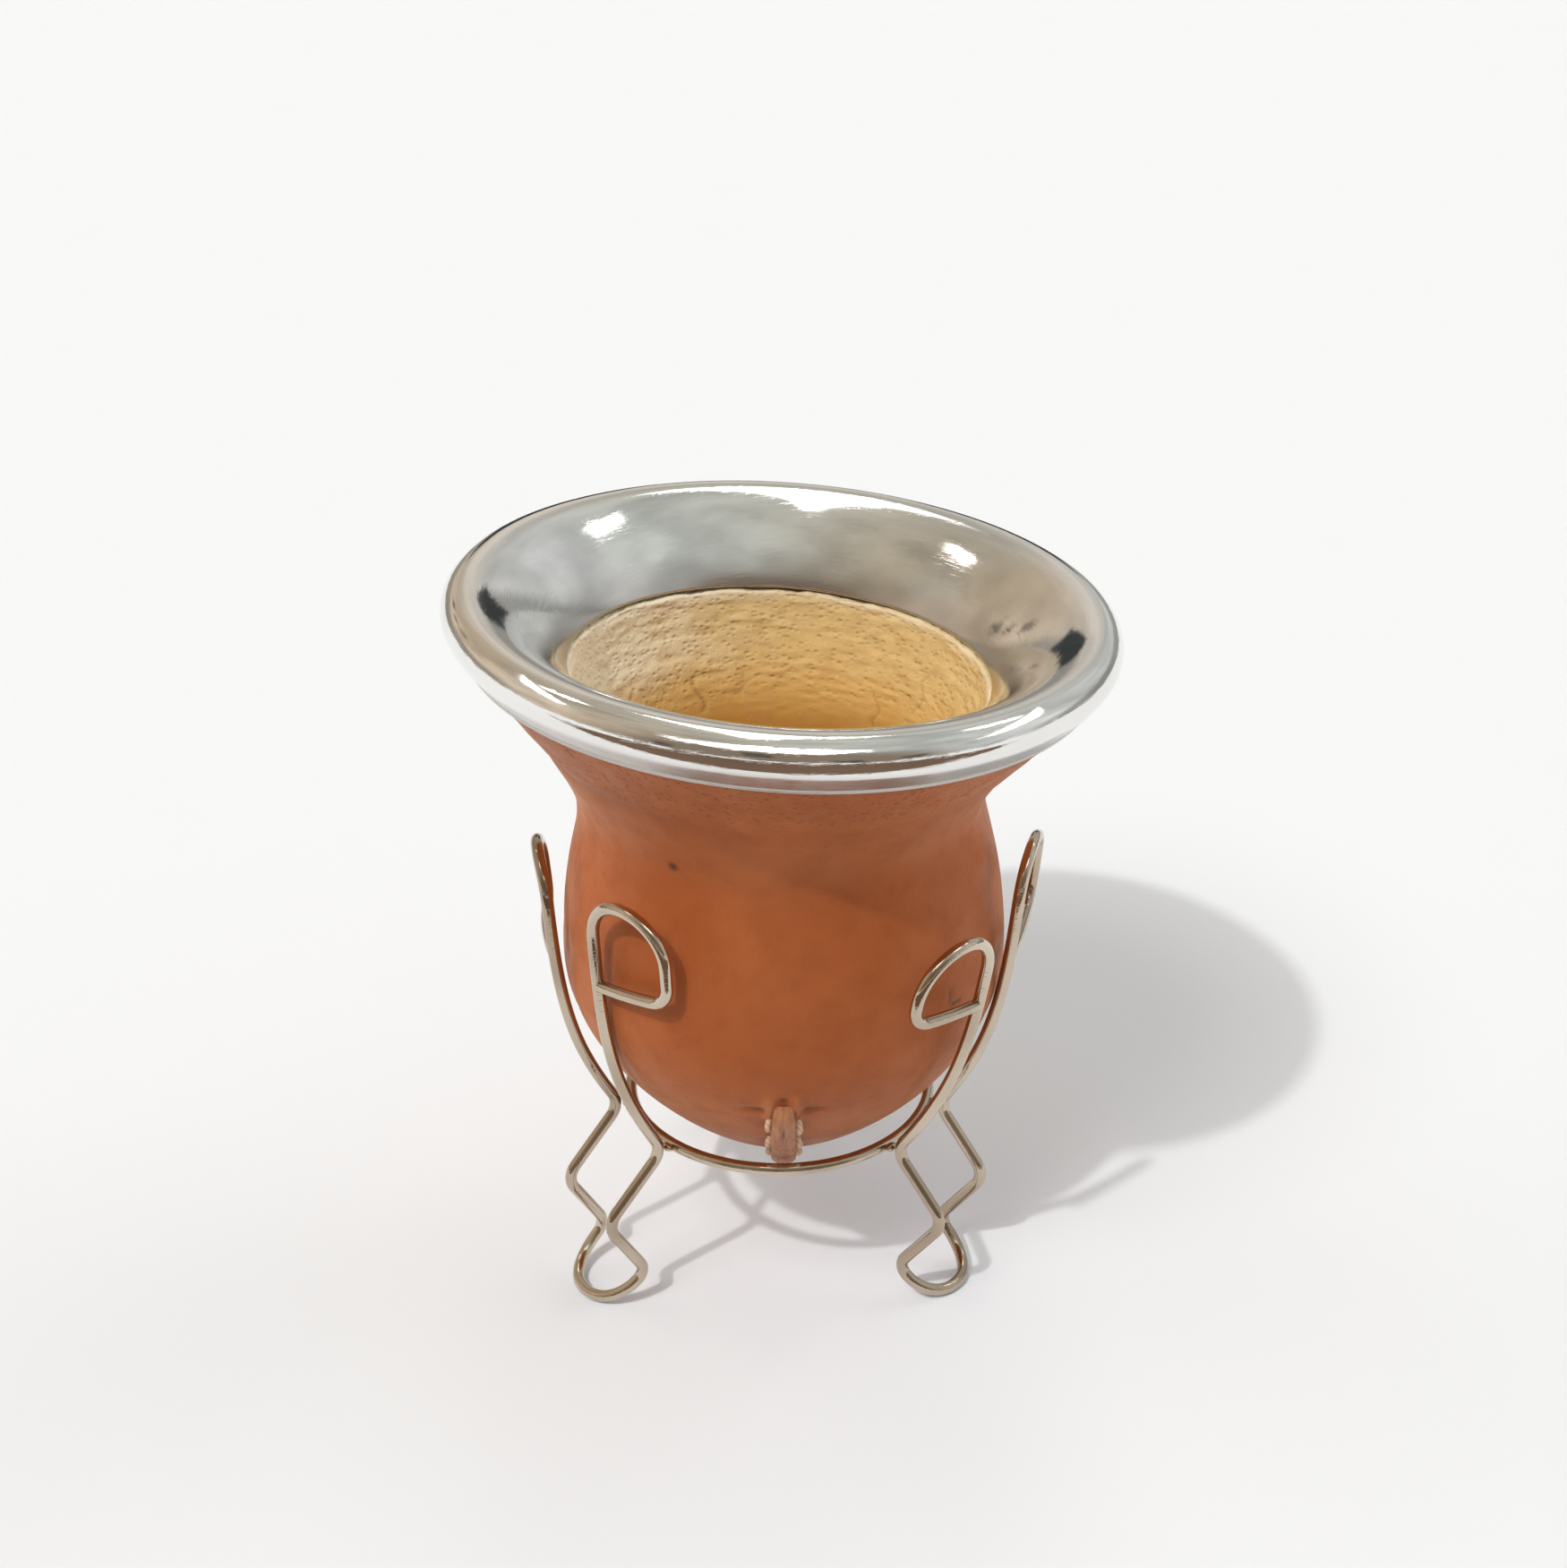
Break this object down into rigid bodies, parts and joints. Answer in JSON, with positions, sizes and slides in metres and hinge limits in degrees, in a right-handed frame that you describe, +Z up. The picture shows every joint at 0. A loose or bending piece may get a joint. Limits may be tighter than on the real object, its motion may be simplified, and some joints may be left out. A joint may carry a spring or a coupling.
{
  "type": "mate gourd on wire stand",
  "caption": "Hollow drinking gourd covered in stitched leather, with a flared polished metal rim, standing in a bent wire tripod with eyelet-topped arms.",
  "frame": {"origin": "on the floor under the middle of the rim", "axes": "+Z up, the front with the end of the stitched seam towards -Y, +X to the right seen from the front"},
  "size_m": [0.0898, 0.09, 0.105],
  "materials": {
    "gourd_shell": "dry, pitted pale inside",
    "leather": "smooth matt tan hide",
    "rim_metal": "polished",
    "stand_wire": "polished drawn wire"
  },
  "bodies": {
    "root": {"gourd": "gourd_shell", "leather_cover": "leather", "rim": "rim_metal", "stand_ring": "stand_wire", "stand_leg_left": "stand_wire", "stand_leg_right": "stand_wire", "stand_leg_back": "stand_wire"}
  },
  "joints": []
}
